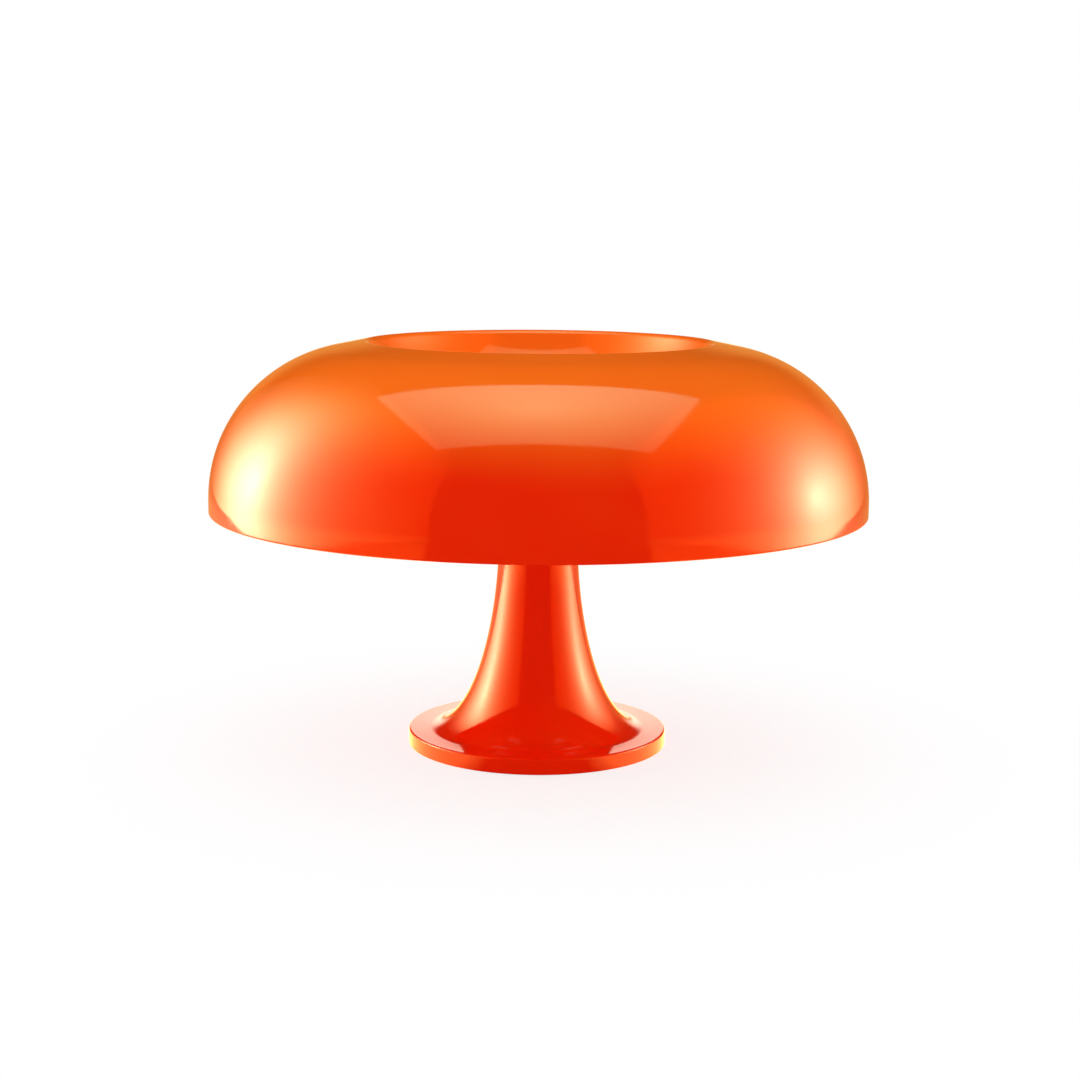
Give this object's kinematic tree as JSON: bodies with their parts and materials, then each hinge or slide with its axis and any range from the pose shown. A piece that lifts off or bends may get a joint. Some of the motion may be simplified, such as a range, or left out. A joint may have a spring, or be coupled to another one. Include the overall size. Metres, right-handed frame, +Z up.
{
  "type": "table lamp",
  "caption": "Mushroom table lamp: a wide glossy domed shade with a bowl sunk in its top, on a trumpet column with a round foot; small screw bulbs stand out sideways under the shade.",
  "frame": {"origin": "on the table, at the centre of the round foot", "axes": "+Z up the lamp's centre line; +Y to the back, where the flex leaves the foot; +X to the right, seen from the front"},
  "size_m": [0.54, 0.54, 0.3369],
  "materials": {
    "shade_plastic": "moulded orange plastic, glossy",
    "foot_plastic": "moulded orange plastic, glossy",
    "knob_plastic": "moulded orange plastic, glossy",
    "plate_iron": "turned, black painted",
    "felt": "pressed black felt",
    "bush_plastic": "black, satin",
    "zinc_steel": "bright zinc plated",
    "bare_brass": "turned, bare",
    "gasket_rubber": "matt black",
    "block_plastic": "white, satin",
    "lead_sleeve": "braided white glass-fibre sleeve",
    "holder_plastic": "pressed black thermoset, semi-gloss",
    "cap_nickel": "rolled bright aluminium",
    "opal_glass": "opal white",
    "insulator_glass": "black glass",
    "tip_solder": "tinned"
  },
  "bodies": {
    "stand": {"foot_column": "foot_plastic", "ballast_plate": "plate_iron", "felt_pad": "felt", "plate_screws": "zinc_steel", "outlet_bush": "bush_plastic", "centre_tube": "zinc_steel", "foot_washer": "zinc_steel", "foot_nut": "zinc_steel", "lamp_bracket": "zinc_steel", "bracket_nut": "zinc_steel", "spacer_tube": "zinc_steel", "support_disc": "zinc_steel", "collar_nut": "bare_brass", "gasket": "gasket_rubber", "terminal_block": "block_plastic", "terminal_screws": "bare_brass", "leads": "lead_sleeve", "holder_nuts": "zinc_steel", "holder_cap_1": "holder_plastic", "holder_body_1": "holder_plastic", "screw_shell_1": "bare_brass", "contact_strip_1": "bare_brass", "holder_cap_2": "holder_plastic", "holder_body_2": "holder_plastic", "screw_shell_2": "bare_brass", "contact_strip_2": "bare_brass", "holder_cap_3": "holder_plastic", "holder_body_3": "holder_plastic", "screw_shell_3": "bare_brass", "contact_strip_3": "bare_brass", "holder_cap_4": "holder_plastic", "holder_body_4": "holder_plastic", "screw_shell_4": "bare_brass", "contact_strip_4": "bare_brass"},
    "shade": {"shade_dome": "shade_plastic", "shade_bowl": "shade_plastic", "shade_floor": "shade_plastic"},
    "knob_thread": {"knob_insert": "bare_brass"},
    "knob": {"knob": "knob_plastic"},
    "bulb_1_thread": {"bulb_insulator_1": "insulator_glass", "bulb_tip_1": "tip_solder"},
    "bulb_1": {"bulb_cap_1": "cap_nickel", "bulb_glass_1": "opal_glass"},
    "bulb_2_thread": {"bulb_insulator_2": "insulator_glass", "bulb_tip_2": "tip_solder"},
    "bulb_2": {"bulb_cap_2": "cap_nickel", "bulb_glass_2": "opal_glass"},
    "bulb_3_thread": {"bulb_insulator_3": "insulator_glass", "bulb_tip_3": "tip_solder"},
    "bulb_3": {"bulb_cap_3": "cap_nickel", "bulb_glass_3": "opal_glass"},
    "bulb_4_thread": {"bulb_insulator_4": "insulator_glass", "bulb_tip_4": "tip_solder"},
    "bulb_4": {"bulb_cap_4": "cap_nickel", "bulb_glass_4": "opal_glass"}
  },
  "joints": [
    {"name": "shade_lift", "type": "slide", "parent": "stand", "child": "shade", "axis": [0, 0, 1], "range_m": [0, 0.16]},
    {"name": "knob_rise", "type": "slide", "parent": "shade", "child": "knob_thread", "axis": [0, 0, 1], "range_m": [0, 0.01]},
    {"name": "knob_turn", "type": "hinge", "parent": "knob_thread", "child": "knob", "pos_m": [0, 0, 0.266], "axis": [0, 0, 1], "range_deg": [0, 3600]},
    {"name": "bulb_1_travel", "type": "slide", "parent": "stand", "child": "bulb_1_thread", "axis": [0.7071, 0.7071, 0], "range_m": [0, 0.0254]},
    {"name": "bulb_1_turn", "type": "hinge", "parent": "bulb_1_thread", "child": "bulb_1", "pos_m": [0.07071, 0.07071, 0.226], "axis": [0.7071, 0.7071, 0], "range_deg": [0, 3240]},
    {"name": "bulb_2_travel", "type": "slide", "parent": "stand", "child": "bulb_2_thread", "axis": [-0.7071, 0.7071, 0], "range_m": [0, 0.0254]},
    {"name": "bulb_2_turn", "type": "hinge", "parent": "bulb_2_thread", "child": "bulb_2", "pos_m": [-0.07071, 0.07071, 0.226], "axis": [-0.7071, 0.7071, 0], "range_deg": [0, 3240]},
    {"name": "bulb_3_travel", "type": "slide", "parent": "stand", "child": "bulb_3_thread", "axis": [-0.7071, -0.7071, 0], "range_m": [0, 0.0254]},
    {"name": "bulb_3_turn", "type": "hinge", "parent": "bulb_3_thread", "child": "bulb_3", "pos_m": [-0.07071, -0.07071, 0.226], "axis": [-0.7071, -0.7071, 0], "range_deg": [0, 3240]},
    {"name": "bulb_4_travel", "type": "slide", "parent": "stand", "child": "bulb_4_thread", "axis": [0.7071, -0.7071, 0], "range_m": [0, 0.0254]},
    {"name": "bulb_4_turn", "type": "hinge", "parent": "bulb_4_thread", "child": "bulb_4", "pos_m": [0.07071, -0.07071, 0.226], "axis": [0.7071, -0.7071, 0], "range_deg": [0, 3240]}
  ],
  "couplings": [
    {"joint": "knob_rise", "follows": "knob_turn", "m_per_rad": 0.00015915},
    {"joint": "bulb_1_travel", "follows": "bulb_1_turn", "m_per_rad": 0.00044917},
    {"joint": "bulb_2_travel", "follows": "bulb_2_turn", "m_per_rad": 0.00044917},
    {"joint": "bulb_3_travel", "follows": "bulb_3_turn", "m_per_rad": 0.00044917},
    {"joint": "bulb_4_travel", "follows": "bulb_4_turn", "m_per_rad": 0.00044917}
  ]
}
